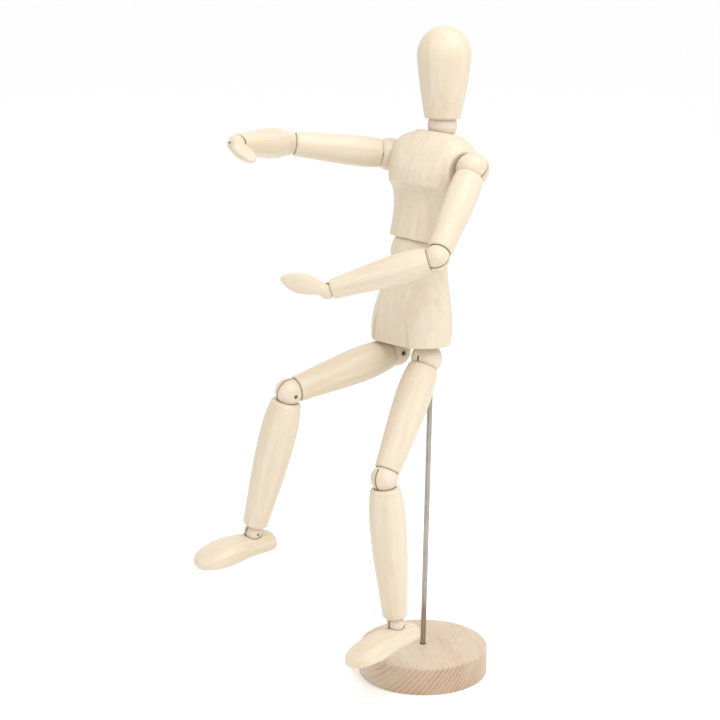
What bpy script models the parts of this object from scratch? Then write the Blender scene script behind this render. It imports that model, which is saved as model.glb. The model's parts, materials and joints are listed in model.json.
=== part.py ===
"""Jointed wooden artist's mannequin on a round base with a steel support rod.

The figure is a chain of turned wooden pieces. Each limb joint is a slotted ball with a cross pin:
the ball turns about the limb above it, and the limb below bends about the pin. The neck and the
waist are plain bored balls held by a spring. The figure faces -Y and its left side is towards +X.
The origin is the centre of the underside of the base.
"""

import math

import bmesh
import bpy
from mathutils import Matrix, Vector

MM = 0.001
TAU = 2 * math.pi

# clearances
GAP = 0.35 * MM  # between a ball and its seat
WAIST_CLEARANCE = 0.5 * MM  # the same for the large waist ball
FIT = 0.3 * MM  # between a pin, shank or rod and its hole

# base and rod
BASE_RADIUS = 33 * MM
BASE_HEIGHT = 14 * MM
BASE_BEVEL = 1.0 * MM
BASE_HOLE_FLOOR = 4 * MM
ROD_RADIUS = 1.3 * MM
ROD_LEAN_BACK = math.radians(0.7)
ROD_LEAN_SIDE = math.radians(1.0)  # towards the figure's left
ROD_INTO_PELVIS = 18 * MM
ROD_HOLE_SPARE = 4.5 * MM

# trunk, each piece from its own lower face upwards
PELVIS_FLOOR = 176.5 * MM
PELVIS_FORWARD = 10.2 * MM
PELVIS_ASIDE = 0.7 * MM
PELVIS_HEIGHT = 37.2 * MM
PELVIS_TOP_BACK = 4.5 * MM  # the top of the pelvis sits this far behind its foot
WAIST_BALL = 13.4 * MM
WAIST_GAP = 12.2 * MM
CHEST_HEIGHT = 52.6 * MM
NECK_BALL = 7.15 * MM
NECK_ABOVE_CHEST = 3.5 * MM
NECK_BACK = 1.0 * MM
HEAD_ABOVE_NECK = 3.4 * MM
HEAD_HEIGHT = 43.9 * MM
HEAD_RADIUS = 13.0 * MM
HEAD_FOOT_RADIUS = 8.6 * MM
HEAD_DOME = 14 * MM

# joint centres on the trunk
SHOULDER_OUT = 26.3 * MM
SHOULDER_FORWARD = 3.2 * MM
SHOULDER_UP = 38 * MM
HIP_OUT = 11 * MM
HIP_DROP = 7.0 * MM

# balls
SHOULDER_BALL = 8.0 * MM
ELBOW_BALL = 6.0 * MM
WRIST_BALL = 4.15 * MM
HIP_BALL = 7.6 * MM
KNEE_BALL = 6.65 * MM
ANKLE_BALL = 4.5 * MM
SLOT_HALF = 0.7 * MM
SLOT_SHARE = 0.35  # height of the slot's end over the ball's centre, as a share of its radius
SLOT_LEAST = 2.3 * MM  # but never lower than clears the eye round the pin
SHANK_HOLD = 0.6 * MM  # a spring's shank stops this far above the slot
PIN_RADIUS = 0.7 * MM
PIN_RECESS = 1.0 * MM

# limb lengths between joint centres
UPPER_ARM = 52 * MM
FOREARM = 53 * MM
THIGH = 63 * MM
SHIN = 74.3 * MM

# wire
WIRE = 0.35 * MM
EYE_RADIUS = 1.4 * MM
COIL_RADIUS = 1.6 * MM
COIL_TURNS = 4
COIL_POINTS = 6  # to a turn
COIL_PITCH = 1.9 * MM
LIMB_BORE = 2.5 * MM

# foot
SOLE_DROP = 11 * MM

# how the figure is posed: degrees about each joint's own axis
WAIST_POSE = (5.0, 3.5, -11.3)  # turn, side lean, forward lean
NECK_POSE = (0.0, -2.8, 10.6)
POSE = {
    "left": {"shoulder": (34.2, 77.5), "elbow": (10.6, 60.7), "wrist": (76.7, 40.3),
             "hip": (11.2, -33.9), "knee": (-5.4, 36.9), "ankle": (-5.4, 1.8)},
    "right": {"shoulder": (85.6, 57.1), "elbow": (0, 52), "wrist": (17.8, 46.4),
              "hip": (-9, -78.8), "knee": (11.8, 69), "ankle": (2.5, 12.4)},
}
SIDES = (("left", 1), ("right", -1))

STEPS = 14  # facets round a turned limb
BALL_STEPS = 12  # facets round a ball, fewer than its seat so that it turns freely
FINE_STEPS = 24  # facets round the trunk and the base


# scene, materials and placing

def clear_scene():
    for thing in list(bpy.data.objects):
        bpy.data.objects.remove(thing, do_unlink=True)


def make_collection(name):
    group = bpy.data.collections.new(name)
    bpy.context.scene.collection.children.link(group)
    return group


def make_material(name, colour, roughness, metallic=0.0):
    material = bpy.data.materials.new(name)
    material.use_nodes = True
    shader = material.node_tree.nodes["Principled BSDF"]
    shader.inputs["Base Color"].default_value = (*colour, 1.0)
    shader.inputs["Roughness"].default_value = roughness
    shader.inputs["Metallic"].default_value = metallic
    return material


clear_scene()
PARTS = make_collection("artist_mannequin")
CUTTERS = make_collection("cutters")
LIMEWOOD = make_material("sanded_limewood", (0.80, 0.69, 0.50), 0.55)
BEECH = make_material("beech", (0.70, 0.48, 0.32), 0.5)
STEEL = make_material("drawn_steel", (0.55, 0.54, 0.52), 0.3, 1.0)
SPRING_STEEL = make_material("spring_steel", (0.40, 0.38, 0.36), 0.35, 1.0)
PIN_WOOD = make_material("stained_pin", (0.20, 0.10, 0.06), 0.6)


def frame(name, parent, at=(0, 0, 0), axis="X", degrees=0.0, base=None):
    """An empty on a joint's axis, turned about one of its parent's axes after an optional base."""
    empty = bpy.data.objects.new(name, None)
    PARTS.objects.link(empty)
    empty.parent = parent
    empty.location = at
    turn = Matrix.Rotation(math.radians(degrees), 3, axis)
    if base is not None:
        turn = turn @ base
    empty.rotation_euler = turn.to_euler()
    return empty


def place(thing, parent, material, at=(0, 0, 0)):
    """Put a new object under its frame, in the parts or, with no material, among the cutters."""
    (PARTS if material else CUTTERS).objects.link(thing)
    thing.parent = parent
    thing.location = at
    if material:
        thing.data.materials.append(material)
    else:
        thing.hide_render = True
        thing.display_type = "WIRE"
    return thing


def cut(thing, *cutters):
    for cutter in cutters:
        boolean = thing.modifiers.new("cut_" + cutter.name, "BOOLEAN")
        boolean.operation = "DIFFERENCE"
        boolean.solver = "EXACT"
        boolean.object = cutter


def slot_top(radius):
    """How high a ball's saw slot reaches over its centre."""
    return max(SLOT_SHARE * radius, SLOT_LEAST)


# shapes

def arc(radius, start, end, count, centre=0.0):
    """Points (r, z) on a circle in the half plane, by angle up from the horizontal."""
    angles = [math.radians(start + (end - start) * i / count) for i in range(count + 1)]
    return [(radius * math.cos(a), centre + radius * math.sin(a)) for a in angles]


def turned(name, profile, parent, material, steps=STEPS, ring=False, at=(0, 0, 0)):
    """A profile (r, z) running down the outside, turned about Z; a ring profile closes on itself."""
    mesh = bpy.data.meshes.new(name)
    edges = [(i, i + 1) for i in range(len(profile) - 1)]
    if ring:
        edges.append((len(profile) - 1, 0))
    mesh.from_pydata([(max(r, 0.0), 0, z) for r, z in profile], edges, [])
    thing = place(bpy.data.objects.new(name, mesh), parent, material, at)
    screw = thing.modifiers.new("turning", "SCREW")
    screw.axis = "Z"
    screw.angle = TAU
    screw.steps = steps
    screw.render_steps = steps
    screw.use_merge_vertices = True
    screw.merge_threshold = 0.00001
    screw.use_smooth_shade = True
    return thing


def rod_mesh(name, radius, low, high, sides=10, axis="Z"):
    """A cylinder between two heights on an axis through the frame's origin."""
    shape = bmesh.new()
    bmesh.ops.create_cone(shape, cap_ends=True, segments=sides, radius1=radius, radius2=radius,
                          depth=high - low)
    bmesh.ops.translate(shape, verts=shape.verts, vec=(0, 0, (low + high) / 2))
    if axis == "X":
        bmesh.ops.rotate(shape, verts=shape.verts, matrix=Matrix.Rotation(math.pi / 2, 3, "Y"))
    mesh = bpy.data.meshes.new(name)
    shape.to_mesh(mesh)
    shape.free()
    mesh.shade_smooth()
    mesh.set_sharp_from_angle(angle=math.radians(40))
    return mesh


def cylinder(name, radius, low, high, parent, material=None, sides=10, axis="Z", at=(0, 0, 0)):
    mesh = rod_mesh(name, radius, low, high, sides, axis)
    return place(bpy.data.objects.new(name, mesh), parent, material, at)


def block(name, low, high, parent):
    """A rectangular cutter between two corners."""
    shape = bmesh.new()
    bmesh.ops.create_cube(shape, size=1.0)
    size = Vector(high) - Vector(low)
    middle = (Vector(high) + Vector(low)) / 2
    bmesh.ops.scale(shape, vec=size, verts=shape.verts)
    bmesh.ops.translate(shape, vec=middle, verts=shape.verts)
    mesh = bpy.data.meshes.new(name)
    shape.to_mesh(mesh)
    shape.free()
    return place(bpy.data.objects.new(name, mesh), parent, None)


def sphere(name, radius, parent, at, steps=STEPS):
    """A round cutter, turned from a half circle."""
    return turned(name, arc(radius, 90, -90, 8), parent, None, steps, at=at)


def lofted(name, rings, parent, material):
    """Skin unlike rings of equal point count, each counterclockwise seen from above, with flat ends."""
    shape = bmesh.new()
    loops = [[shape.verts.new(point) for point in ring] for ring in rings]
    count = len(loops[0])
    for lower, upper in zip(loops, loops[1:]):
        for i in range(count):
            j = (i + 1) % count
            shape.faces.new((lower[i], lower[j], upper[j], upper[i]))
    shape.faces.new(list(reversed(loops[0])))
    shape.faces.new(loops[-1])
    bmesh.ops.recalc_face_normals(shape, faces=shape.faces)
    mesh = bpy.data.meshes.new(name)
    shape.to_mesh(mesh)
    shape.free()
    mesh.shade_smooth()
    mesh.set_sharp_from_angle(angle=math.radians(50))
    return place(bpy.data.objects.new(name, mesh), parent, material)


def wire(name, path, radius, parent, material=SPRING_STEEL):
    """A round wire along straight stretches between points."""
    curve = bpy.data.curves.new(name, "CURVE")
    curve.dimensions = "3D"
    curve.bevel_depth = radius
    curve.bevel_resolution = 0
    curve.use_fill_caps = True
    spline = curve.splines.new("POLY")
    spline.points.add(len(path) - 1)
    for point, (x, y, z) in zip(spline.points, path):
        point.co = (x, y, z, 1.0)
    return place(bpy.data.objects.new(name, curve), parent, material)


def eye_path(radius=EYE_RADIUS):
    """A ring round the cross pin (the frame's X axis), open beside its shank, which runs down -Z."""
    angles = [math.radians(a) for a in range(-40, 241, 40)]
    ring = [(0, radius * math.cos(a), radius * math.sin(a)) for a in angles]
    return ring + [(0, 0, -radius * 1.55)]


def coil_path(radius, turns, pitch, top):
    """A helix running down from the height top."""
    steps = [i / COIL_POINTS for i in range(turns * COIL_POINTS + 1)]
    return [(radius * math.cos(TAU * s), radius * math.sin(TAU * s), top - pitch * s) for s in steps]


# base and support rod

def make_base():
    profile = [(0, BASE_HEIGHT), (BASE_RADIUS - BASE_BEVEL, BASE_HEIGHT),
               (BASE_RADIUS, BASE_HEIGHT - BASE_BEVEL), (BASE_RADIUS, BASE_BEVEL * 0.6),
               (BASE_RADIUS - BASE_BEVEL * 0.6, 0), (0, 0)]
    base = turned("base", profile, None, BEECH, 36)
    lean = Matrix.Rotation(-ROD_LEAN_BACK, 3, "X")
    rod_axis = frame("rod_axis", None, (0, 0, BASE_HEIGHT), "Y", math.degrees(ROD_LEAN_SIDE), lean)
    hole = cylinder("rod_hole", ROD_RADIUS + FIT, BASE_HOLE_FLOOR - BASE_HEIGHT, 5 * MM, rod_axis,
                    sides=12)
    cut(base, hole)
    rod_top = PELVIS_FLOOR - BASE_HEIGHT + ROD_INTO_PELVIS
    cylinder("support_rod", ROD_RADIUS, BASE_HOLE_FLOOR - BASE_HEIGHT + FIT, rod_top, rod_axis,
             STEEL, sides=12)
    socket = cylinder("rod_socket", ROD_RADIUS + FIT, rod_top - ROD_INTO_PELVIS - 6 * MM,
                      rod_top + ROD_HOLE_SPARE, rod_axis, sides=12)
    return socket


# trunk

def oval(half_width, front, rear, height, count=FINE_STEPS, squareness=2.2, back=0.0):
    """A superellipse ring at one height, with unlike depths to the front (-Y) and the rear."""
    ring = []
    for i in range(count):
        a = TAU * i / count
        c, s = math.cos(a), math.sin(a)
        x = half_width * math.copysign(abs(c) ** (2 / squareness), c)
        y = (rear if s > 0 else front) * math.copysign(abs(s) ** (2 / squareness), s)
        ring.append((x, y + back, height))
    return ring


def make_pelvis(axis, rod_socket):
    sections = ((0, 21.6, 15.6), (1.2, 22.5, 16.3), (8, 22.7, 16.4), (18, 21.0, 15.6),
                (28, 17.8, 14.2), (37.2, 14.8, 13.4))
    rings = []
    for z, width, depth in sections:
        back = PELVIS_TOP_BACK * (z * MM / PELVIS_HEIGHT) ** 1.5
        rings.append(oval(width * MM, depth * MM, depth * MM, z * MM, back=back))
    pelvis = lofted("pelvis", rings, axis, LIMEWOOD)
    seat = sphere("pelvis_waist_seat", WAIST_BALL + WAIST_CLEARANCE, axis,
                  (0, PELVIS_TOP_BACK, PELVIS_HEIGHT + WAIST_GAP / 2), 20)
    bore = cylinder("pelvis_waist_bore", 3.4 * MM, 22 * MM, PELVIS_HEIGHT, axis, sides=12,
                    at=(0, PELVIS_TOP_BACK, 0))
    chamber = block("pelvis_chamber", (-13.6 * MM, -2.6 * MM, 9 * MM), (13.6 * MM, 2.6 * MM, 17 * MM),
                    axis)
    arch_width, arch_height, arch_face = 12.0 * MM, 24.5 * MM, 13.2 * MM
    outline = [(arch_width * math.cos(math.pi * i / 10), arch_height * math.sin(math.pi * i / 10))
               for i in range(11)]
    outline += [(-arch_width, -2 * MM), (arch_width, -2 * MM)]
    ends = [[(x, -y, z) for x, z in outline] for y in (arch_face, 22 * MM)]
    arch = lofted("pelvis_arch", ends, axis, None)
    cut(pelvis, seat, bore, chamber, arch, rod_socket)
    for side, sign in SIDES:
        centre = (sign * HIP_OUT, 0, -HIP_DROP)
        hip_seat = sphere(side + "_hip_seat", HIP_BALL + GAP, axis, centre)
        hip_bore = cylinder(side + "_hip_bore", LIMB_BORE, 0, 10 * MM, axis,
                            at=(sign * HIP_OUT, 0, 0))
        cut(pelvis, hip_seat, hip_bore)
    low, high = slot_top(HIP_BALL) + SHANK_HOLD - HIP_DROP, 13 * MM
    coil = coil_path(COIL_RADIUS, COIL_TURNS, COIL_PITCH, COIL_TURNS * COIL_PITCH / 2)
    across = [(z, x, high + y) for x, y, z in coil]
    path = [(HIP_OUT, 0, low), (HIP_OUT, 0, high - 2 * MM), (HIP_OUT - 2 * MM, 0, high), *across,
            (2 * MM - HIP_OUT, 0, high), (-HIP_OUT, 0, high - 2 * MM), (-HIP_OUT, 0, low)]
    wire("hip_spring", path, WIRE, axis)


def make_waist(pelvis_axis):
    """The waist spring turns in the pelvis, the ball leans sideways on it, the chest leans on both."""
    centre = (0, PELVIS_TOP_BACK, PELVIS_HEIGHT + WAIST_GAP / 2)
    turn = frame("waist_turn_axis", pelvis_axis, centre, "Z", WAIST_POSE[0])
    side = frame("waist_side_axis", turn, (0, 0, 0), "Y", WAIST_POSE[1])
    forward = frame("waist_forward_axis", side, (0, 0, 0), "X", WAIST_POSE[2])
    wire("waist_spring", coil_path(2.2 * MM, 9, 3.6 * MM, 15.5 * MM), 0.5 * MM, turn)
    bore = 6.4 * MM
    edge = math.degrees(math.acos(bore / WAIST_BALL))
    profile = arc(WAIST_BALL, edge, -edge, 8)
    turned("waist_ball", profile, side, LIMEWOOD, 20, ring=True)
    return frame("chest_frame", forward, (0, 0, WAIST_GAP / 2))


def make_chest(axis):
    # height, half width, depth to the front and to the rear
    sections = ((0, 15.4, 13.0, 13.0), (1.0, 15.8, 13.3, 13.3), (13, 17.2, 14.4, 13.8),
                (25, 20.6, 17.0, 14.0), (33, 23.2, 17.4, 13.8), (39, 24.2, 16.0, 13.0),
                (44, 23.6, 13.8, 12.4), (48.6, 19.6, 11.2, 11.4), (51.4, 12.9, 8.8, 9.8),
                (52.6, 9.8, 7.2, 8.6))
    rings = [oval(w * MM, f * MM, r * MM, z * MM) for z, w, f, r in sections]
    chest = lofted("chest", rings, axis, LIMEWOOD)
    waist_seat = sphere("chest_waist_seat", WAIST_BALL + WAIST_CLEARANCE, axis,
                        (0, 0, -WAIST_GAP / 2), 20)
    waist_room = cylinder("chest_waist_room", 9.6 * MM, -1 * MM, 12 * MM, axis, sides=16)
    neck_seat = sphere("chest_neck_seat", NECK_BALL + GAP, axis,
                       (0, NECK_BACK, CHEST_HEIGHT + NECK_ABOVE_CHEST))
    neck_bore = cylinder("chest_neck_bore", 2.4 * MM, 42.4 * MM, CHEST_HEIGHT, axis,
                         at=(0, NECK_BACK, 0))
    shoulder_bore = cylinder("chest_shoulder_bore", LIMB_BORE, -SHOULDER_OUT, SHOULDER_OUT, axis,
                             axis="X", at=(0, -SHOULDER_FORWARD, SHOULDER_UP))
    cut(chest, waist_seat, waist_room, neck_seat, neck_bore)
    for side, sign in SIDES:
        seat = sphere(side + "_shoulder_seat", SHOULDER_BALL + GAP, axis,
                      (sign * SHOULDER_OUT, -SHOULDER_FORWARD, SHOULDER_UP))
        scoop = sphere(side + "_arm_scoop", 16 * MM, axis,
                       (sign * 34.5 * MM, -8 * MM, SHOULDER_UP - 2 * MM), 18)
        cut(chest, scoop, seat)
    cut(chest, shoulder_bore)
    reach = SHOULDER_OUT - slot_top(SHOULDER_BALL) - SHANK_HOLD
    coil = coil_path(COIL_RADIUS, 6, COIL_PITCH, 3 * COIL_PITCH)
    line = -SHOULDER_FORWARD
    across = [(z, x + line, SHOULDER_UP + y) for x, y, z in coil]
    path = [(reach, line, SHOULDER_UP), (8 * MM, line, SHOULDER_UP), *across,
            (-8 * MM, line, SHOULDER_UP), (-reach, line, SHOULDER_UP)]
    wire("shoulder_spring", path, WIRE, axis)


def make_head(chest_axis):
    """The neck spring turns in the chest, the neck ball tilts on it and the head nods on the ball."""
    centre = (0, NECK_BACK, CHEST_HEIGHT + NECK_ABOVE_CHEST)
    turn = frame("neck_turn_axis", chest_axis, centre, "Z", NECK_POSE[0])
    tilt = frame("neck_tilt_axis", turn, (0, 0, 0), "Y", NECK_POSE[1])
    nod = frame("head_nod_axis", tilt, (0, 0, 0), "X", NECK_POSE[2])
    wire("neck_spring", coil_path(1.5 * MM, 7, 2.4 * MM, 6 * MM), WIRE, turn)
    bore = 4.6 * MM
    edge = math.degrees(math.acos(bore / NECK_BALL))
    turned("neck_ball", arc(NECK_BALL, edge, -edge, 6), tilt, LIMEWOOD, ring=True)
    widest = HEAD_ABOVE_NECK + HEAD_HEIGHT - HEAD_DOME
    dome = [(HEAD_RADIUS * math.cos(a), widest + HEAD_DOME * math.sin(a))
            for a in (math.pi / 2 * (1 - i / 6) for i in range(6))]
    fall = widest - HEAD_ABOVE_NECK
    taper = [(HEAD_RADIUS - (HEAD_RADIUS - HEAD_FOOT_RADIUS) * t ** 1.35, widest - fall * t)
             for t in (0, 0.25, 0.5, 0.75, 0.96)]
    seat = NECK_BALL + GAP
    rim = math.degrees(math.asin(HEAD_ABOVE_NECK / seat))
    room = 5.2 * MM
    mouth = math.degrees(math.acos(room / seat))
    inside = [(HEAD_FOOT_RADIUS - 0.9 * MM, HEAD_ABOVE_NECK), *arc(seat, rim, mouth, 2),
              (room, 9.5 * MM), (0, 9.5 * MM)]
    turned("head", dome + taper + inside, nod, LIMEWOOD)


# limbs

def limb(name, parent, length, tops, bottoms, belly):
    """A bored limb hanging from its frame: an outer curve between two rounded rims with ball seats.

    tops and bottoms are (ball radius, distance of the rim from the ball's centre, outer radius,
    rounding); belly is the (share of the length, radius) points between them.
    """
    top_ball, top_gap, top_radius, top_round = tops
    low_ball, low_gap, low_radius, low_round = bottoms
    top_seat, low_seat = top_ball + GAP, low_ball + GAP
    top_rim = math.sqrt(top_seat ** 2 - top_gap ** 2)
    low_rim = math.sqrt(low_seat ** 2 - low_gap ** 2)
    top, low = -top_gap, low_gap - length
    outer = [(top_rim + 0.2 * MM, top), (top_radius - top_round * 0.3, top - top_round * 0.35),
             (top_radius, top - top_round)]
    outer += [(radius, -length * share) for share, radius in belly]
    outer += [(low_radius, low + low_round), (low_radius - low_round * 0.3, low + low_round * 0.35),
              (low_rim + 0.2 * MM, low)]
    low_start = math.degrees(math.asin(low_gap / low_seat))
    low_end = math.degrees(math.acos(LIMB_BORE / low_seat))
    top_start = -math.degrees(math.acos(LIMB_BORE / top_seat))
    top_end = -math.degrees(math.asin(top_gap / top_seat))
    inner = arc(low_seat, low_start, low_end, 3, -length) + arc(top_seat, top_start, top_end, 3)
    return turned(name, outer + inner, parent, LIMEWOOD, ring=True)


def slotted_ball(name, radius, parent):
    """A ball with a saw slot from its lower side, a cross bore for the pin and a hole for the wire."""
    ball = turned(name, arc(radius, 90, -90, 8), parent, LIMEWOOD, BALL_STEPS)
    wide = radius + 1 * MM
    slot = block(name + "_slot", (-SLOT_HALF, -wide, -wide), (SLOT_HALF, wide, slot_top(radius)),
                 parent)
    pin_hole = cylinder(name + "_pin_hole", PIN_RADIUS + FIT, -wide, wide, parent, axis="X")
    wire_hole = cylinder(name + "_wire_hole", WIRE + FIT, slot_top(radius) / 2, wide, parent, sides=8)
    cut(ball, slot, pin_hole, wire_hole)
    return ball


def cross_pin(name, radius, parent):
    half = radius - PIN_RECESS
    return cylinder(name, PIN_RADIUS, -half, half, parent, PIN_WOOD, sides=8, axis="X")


def ball_joint(side, joint, parent, at, radius, base=None):
    """The ball's frame turns about the limb above; the returned frame bends about the cross pin."""
    turn, bend = POSE[side][joint]
    if base is None:
        turn_axis = frame(f"{side}_{joint}_turn_axis", parent, at, "Z", turn)
    else:
        turn_axis = frame(f"{side}_{joint}_turn_axis", parent, at, "X", -turn, base)
    slotted_ball(f"{side}_{joint}_ball", radius, turn_axis)
    cross_pin(f"{side}_{joint}_pin", radius, turn_axis)
    return frame(f"{side}_{joint}_bend_axis", turn_axis, (0, 0, 0), "X", bend)


def limb_spring(name, parent, top_ball, length, low_ball):
    """An eye round the upper pin, a coil in the bore and a shank that ends in the lower ball."""
    coil_top = -(top_ball + 2.5 * MM)
    coil = coil_path(COIL_RADIUS, COIL_TURNS, COIL_PITCH, coil_top)
    path = eye_path() + [(0, 0, coil_top + 1.5 * MM), *coil]
    foot = coil[-1][2] - 1.5 * MM
    if low_ball:
        path += [(0, 0, foot), (0, 0, -length + slot_top(low_ball) + SHANK_HOLD)]
    else:
        run = length - 13 * MM + coil[-1][2]
        path += [(COIL_RADIUS, 0, foot), (COIL_RADIUS, 0, foot + 3 * MM - run)]
        path += coil_path(COIL_RADIUS, 2, COIL_PITCH, foot + 1.5 * MM - run)
    return wire(name, path, WIRE, parent)


def make_hand(side, forearm_axis):
    """The wrist link turns in the forearm, and the hand with its ball bends about the wrist pin."""
    turn, bend = POSE[side]["wrist"]
    turn_axis = frame(side + "_wrist_turn_axis", forearm_axis, (0, 0, -FOREARM), "Z", turn)
    link = [(x, y, -z) for x, y, z in eye_path(1.3 * MM)] + [(0, 0, 8.5 * MM)]
    wire(side + "_wrist_link", link, WIRE, turn_axis)
    axis = frame(side + "_wrist_bend_axis", turn_axis, (0, 0, 0), "X", bend)
    # height, half width across the palm, half thickness
    outline = ((-4.4, 3.5, 3.1), (-7.5, 4.6, 3.3), (-11, 5.7, 3.4), (-14.5, 6.0, 3.2),
               (-17.6, 5.2, 2.7), (-20.4, 3.6, 1.9), (-22.1, 1.9, 1.1), (-22.8, 0.7, 0.4))
    rings = []
    for angle in (82, 60, 38, 15, -12, -36):
        r, z = WRIST_BALL * math.cos(math.radians(angle)), WRIST_BALL * math.sin(math.radians(angle))
        rings.append(oval(r, r, r, z, 12, 2.0))
    rings += [oval(t * MM, w * MM, w * MM, z * MM, 12, 2.0) for z, w, t in outline]
    hand = lofted(side + "_hand", list(reversed(rings)), axis, LIMEWOOD)
    wide = WRIST_BALL + 1 * MM
    slot = block(side + "_wrist_slot", (-SLOT_HALF, -wide, -2.1 * MM), (SLOT_HALF, wide, wide), axis)
    hole = cylinder(side + "_wrist_pin_hole", 0.85 * MM, -wide, wide, axis, axis="X")
    cut(hand, slot, hole)
    half = WRIST_BALL - 0.7 * MM
    cylinder(side + "_wrist_pin", 0.55 * MM, -half, half, axis, PIN_WOOD, sides=8, axis="X")


def make_foot(side, axis):
    """A shoe-like foot along -Y with a flat sole, a seat for the ankle ball and an eye in it."""
    # distance ahead of the ankle, half width, height over the sole
    stations = ((-12.5, 2.2, 4.2), (-11.6, 4.6, 6.4), (-8.5, 6.3, 8.0), (-3, 6.6, 9.2),
                (3.5, 6.9, 9.7), (9.5, 7.8, 10.0), (15.5, 8.7, 9.6), (22, 8.7, 8.3),
                (27.4, 7.3, 6.6), (30.8, 4.7, 4.6), (32.2, 1.8, 3.0))
    count = 14
    rings = []
    for ahead, half, height in stations:
        middle = min(3.0, height * 0.45)
        ring = []
        for i in range(count):
            a = TAU * i / count
            c, s = math.cos(a), math.sin(a)
            rise = (height - middle) * s if s > 0 else -middle * abs(s) ** 0.45
            ring.append((half * MM * math.copysign(abs(c) ** 0.85, c), -ahead * MM,
                         (middle + rise) * MM - SOLE_DROP))
        rings.append(ring)
    foot = lofted(side + "_foot", rings, axis, LIMEWOOD)
    seat = sphere(side + "_ankle_seat", ANKLE_BALL + GAP, axis, (0, 0, 0))
    bore = cylinder(side + "_foot_bore", WIRE + FIT, -9.6 * MM, -3 * MM, axis, sides=8)
    cut(foot, seat, bore)
    wire(side + "_foot_eye", eye_path() + [(0, 0, -9.2 * MM)], WIRE, axis)


def make_arm(side, sign, chest_axis):
    inboard = Matrix(((0, 0, -sign), (sign, 0, 0), (0, -1, 0)))
    upper = ball_joint(side, "shoulder", chest_axis,
                       (sign * SHOULDER_OUT, -SHOULDER_FORWARD, SHOULDER_UP), SHOULDER_BALL, inboard)
    limb(side + "_upper_arm", upper, UPPER_ARM,
         (SHOULDER_BALL, 5.2 * MM, 7.1 * MM, 1.2 * MM), (ELBOW_BALL, 3.9 * MM, 5.9 * MM, 1.2 * MM),
         ((0.22, 7.4 * MM), (0.36, 7.4 * MM), (0.56, 6.9 * MM), (0.75, 6.3 * MM)))
    limb_spring(side + "_upper_arm_spring", upper, SHOULDER_BALL, UPPER_ARM, ELBOW_BALL)
    fore = ball_joint(side, "elbow", upper, (0, 0, -UPPER_ARM), ELBOW_BALL)
    limb(side + "_forearm", fore, FOREARM,
         (ELBOW_BALL, 4.1 * MM, 6.0 * MM, 1.2 * MM), (WRIST_BALL, 2.2 * MM, 4.8 * MM, 0.7 * MM),
         ((0.2, 6.9 * MM), (0.32, 7.1 * MM), (0.5, 6.7 * MM), (0.72, 5.7 * MM), (0.86, 5.1 * MM)))
    limb_spring(side + "_forearm_spring", fore, ELBOW_BALL, FOREARM, None)
    make_hand(side, fore)


def make_leg(side, sign, pelvis_axis):
    upper = ball_joint(side, "hip", pelvis_axis, (sign * HIP_OUT, 0, -HIP_DROP), HIP_BALL)
    limb(side + "_thigh", upper, THIGH,
         (HIP_BALL, 4.6 * MM, 7.6 * MM, 1.6 * MM), (KNEE_BALL, 4.2 * MM, 6.4 * MM, 1.2 * MM),
         ((0.2, 8.4 * MM), (0.34, 8.7 * MM), (0.52, 8.2 * MM), (0.7, 7.4 * MM), (0.84, 6.7 * MM)))
    limb_spring(side + "_thigh_spring", upper, HIP_BALL, THIGH, KNEE_BALL)
    lower = ball_joint(side, "knee", upper, (0, 0, -THIGH), KNEE_BALL)
    limb(side + "_shin", lower, SHIN,
         (KNEE_BALL, 4.6 * MM, 7.5 * MM, 1.8 * MM), (ANKLE_BALL, 3.0 * MM, 6.2 * MM, 2.2 * MM),
         ((0.18, 8.6 * MM), (0.3, 8.9 * MM), (0.46, 8.7 * MM), (0.64, 7.9 * MM), (0.8, 6.9 * MM)))
    limb_spring(side + "_shin_spring", lower, KNEE_BALL, SHIN, ANKLE_BALL)
    foot_axis = ball_joint(side, "ankle", lower, (0, 0, -SHIN), ANKLE_BALL)
    make_foot(side, foot_axis)


def main():
    rod_socket = make_base()
    pelvis_axis = frame("pelvis_frame", None, (PELVIS_ASIDE, -PELVIS_FORWARD, PELVIS_FLOOR))
    make_pelvis(pelvis_axis, rod_socket)
    chest_axis = make_waist(pelvis_axis)
    make_chest(chest_axis)
    make_head(chest_axis)
    for side, sign in SIDES:
        make_arm(side, sign, chest_axis)
        make_leg(side, sign, pelvis_axis)
    bpy.context.view_layer.update()


main()
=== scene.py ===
"""The finished look of a jointed wooden drawing figure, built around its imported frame.

Every wooden piece is made again as a fine surface in the frame of its own joint: limbs and balls are
turned, the trunk, hands and feet are lofted. Local lengths are millimetres, the scene is in metres.
"""

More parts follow.
